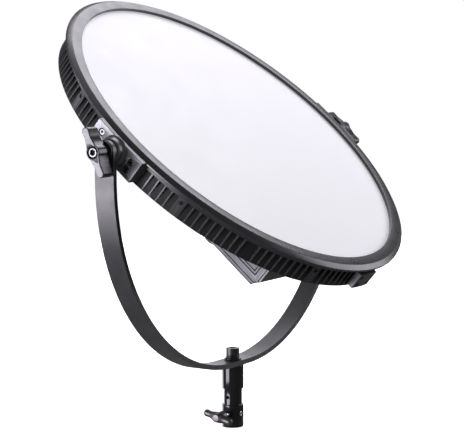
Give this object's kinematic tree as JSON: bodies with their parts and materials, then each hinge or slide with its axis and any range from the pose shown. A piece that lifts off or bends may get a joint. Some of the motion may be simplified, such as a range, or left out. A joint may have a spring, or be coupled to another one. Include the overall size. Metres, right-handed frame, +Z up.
{
  "type": "led panel light",
  "caption": "Round edge-lit panel light that tilts in a U-shaped yoke with two clamp knobs, on a stand adapter with a T-handle lock screw.",
  "frame": {"origin": "centre of the stand socket's mouth, at the bottom of the stand adapter", "axes": "+X along the pivot axis towards the right-hand knob, +Z up the stand, and the bright face looks towards -Y and up at rest"},
  "size_m": [0.5706, 0.381, 0.518],
  "materials": {
    "anodised_black": "black anodised, fine bead-blasted satin",
    "painted_black": "charcoal powder coat, satin",
    "black_oxide": "black oxide steel",
    "satin_grey": "bead-blasted grey metal, satin",
    "gunmetal": "gunmetal plated zinc, semi-gloss",
    "steel": "bright turned steel",
    "brass": "plain turned brass-coloured metal",
    "black_plastic": "moulded black plastic, fine texture",
    "opal": "opal acrylic, lit evenly from behind",
    "clear_acrylic": "clear acrylic light guide",
    "painted_alloy": "charcoal powder coat on aluminium, satin",
    "white_film": "white reflective film",
    "circuit": "green circuit board",
    "dark_glass": "smoked display window, gloss"
  },
  "bodies": {
    "stand_yoke": {"yoke": "painted_black", "stand_adapter": "anodised_black", "stop_screw": "steel", "adapter_washer": "black_oxide", "spring_washer": "black_oxide", "adapter_bolt": "black_oxide", "arm_washer_left": "black_plastic", "arm_washer_right": "black_plastic"},
    "lock_screw_set": {"lock_pad": "brass", "lock_screw": "steel", "lock_handle": "gunmetal"},
    "panel_head": {"rim_heatsink": "anodised_black", "front_bezel": "anodised_black", "diffuser": "opal", "light_guide_plate": "clear_acrylic", "reflector_sheet": "white_film", "backing_plate": "satin_grey", "led_strip_ring": "white_film", "led_carrier_ring": "satin_grey", "back_cover": "painted_alloy", "rim_joint_plate": "anodised_black", "control_box_housing": "anodised_black", "control_box_end_left": "satin_grey", "control_box_end_right": "satin_grey", "control_box_cover": "anodised_black", "brightness_encoder": "satin_grey", "colour_encoder": "satin_grey", "display_window": "dark_glass", "display_module": "white_film", "switch_body": "black_plastic", "power_inlet": "black_plastic", "inlet_pins": "steel", "driver_board": "circuit", "power_supply_unit": "satin_grey", "pivot_block_left": "anodised_black", "pivot_block_screw_left_1": "steel", "pivot_block_screw_left_2": "steel", "pivot_block_screw_left_3": "steel", "pivot_block_screw_left_4": "steel", "pivot_hub_left": "anodised_black", "pivot_stud_left": "steel", "friction_washer_left": "black_plastic", "pivot_block_right": "anodised_black", "pivot_block_screw_right_1": "steel", "pivot_block_screw_right_2": "steel", "pivot_block_screw_right_3": "steel", "pivot_block_screw_right_4": "steel", "pivot_hub_right": "anodised_black", "pivot_stud_right": "steel", "friction_washer_right": "black_plastic"},
    "clamp_left": {"clamp_knob_left": "satin_grey", "knob_screw_left": "steel"},
    "clamp_right": {"clamp_knob_right": "satin_grey", "knob_screw_right": "steel"},
    "brightness_control": {"brightness_knob": "black_plastic"},
    "colour_control": {"colour_knob": "black_plastic"},
    "mode_key": {"button_mode": "black_plastic"},
    "group_key": {"button_group": "black_plastic"},
    "channel_key": {"button_channel": "black_plastic"},
    "power_rocker": {"switch_rocker": "black_plastic"}
  },
  "joints": [
    {"name": "panel_tilt", "type": "hinge", "parent": "stand_yoke", "child": "panel_head", "pos_m": [0, 0, 0.3517], "axis": [1, 0, 0], "continuous": true},
    {"name": "stand_lock_turn", "type": "hinge", "parent": "stand_yoke", "child": "lock_screw_set", "pos_m": [-0.02, 0, 0.0166], "axis": [-1, 0, 0], "range_deg": [0, 720]},
    {"name": "clamp_left_turn", "type": "hinge", "parent": "panel_head", "child": "clamp_left", "pos_m": [-0.275, 0, 0.3517], "axis": [-1, 0, 0], "range_deg": [0, 360]},
    {"name": "clamp_right_turn", "type": "hinge", "parent": "panel_head", "child": "clamp_right", "pos_m": [0.275, 0, 0.3517], "axis": [1, 0, 0], "range_deg": [0, 360]},
    {"name": "brightness_turn", "type": "hinge", "parent": "panel_head", "child": "brightness_control", "pos_m": [-0.068, -0.02332, 0.24932], "axis": [0, 0.6468, -0.7627], "continuous": true},
    {"name": "colour_turn", "type": "hinge", "parent": "panel_head", "child": "colour_control", "pos_m": [0.068, -0.02332, 0.24932], "axis": [0, 0.6468, -0.7627], "continuous": true},
    {"name": "power_rocker_tilt", "type": "hinge", "parent": "panel_head", "child": "power_rocker", "pos_m": [0.018, -0.06799, 0.21078], "axis": [1, 0, 0], "range_deg": [0, 20]},
    {"name": "mode_press", "type": "slide", "parent": "panel_head", "child": "mode_key", "axis": [0, -0.6468, 0.7627], "range_m": [0, 0.0012], "stiffness_N_per_m": 300},
    {"name": "group_press", "type": "slide", "parent": "panel_head", "child": "group_key", "axis": [0, -0.6468, 0.7627], "range_m": [0, 0.0012], "stiffness_N_per_m": 300},
    {"name": "channel_press", "type": "slide", "parent": "panel_head", "child": "channel_key", "axis": [0, -0.6468, 0.7627], "range_m": [0, 0.0012], "stiffness_N_per_m": 300}
  ]
}
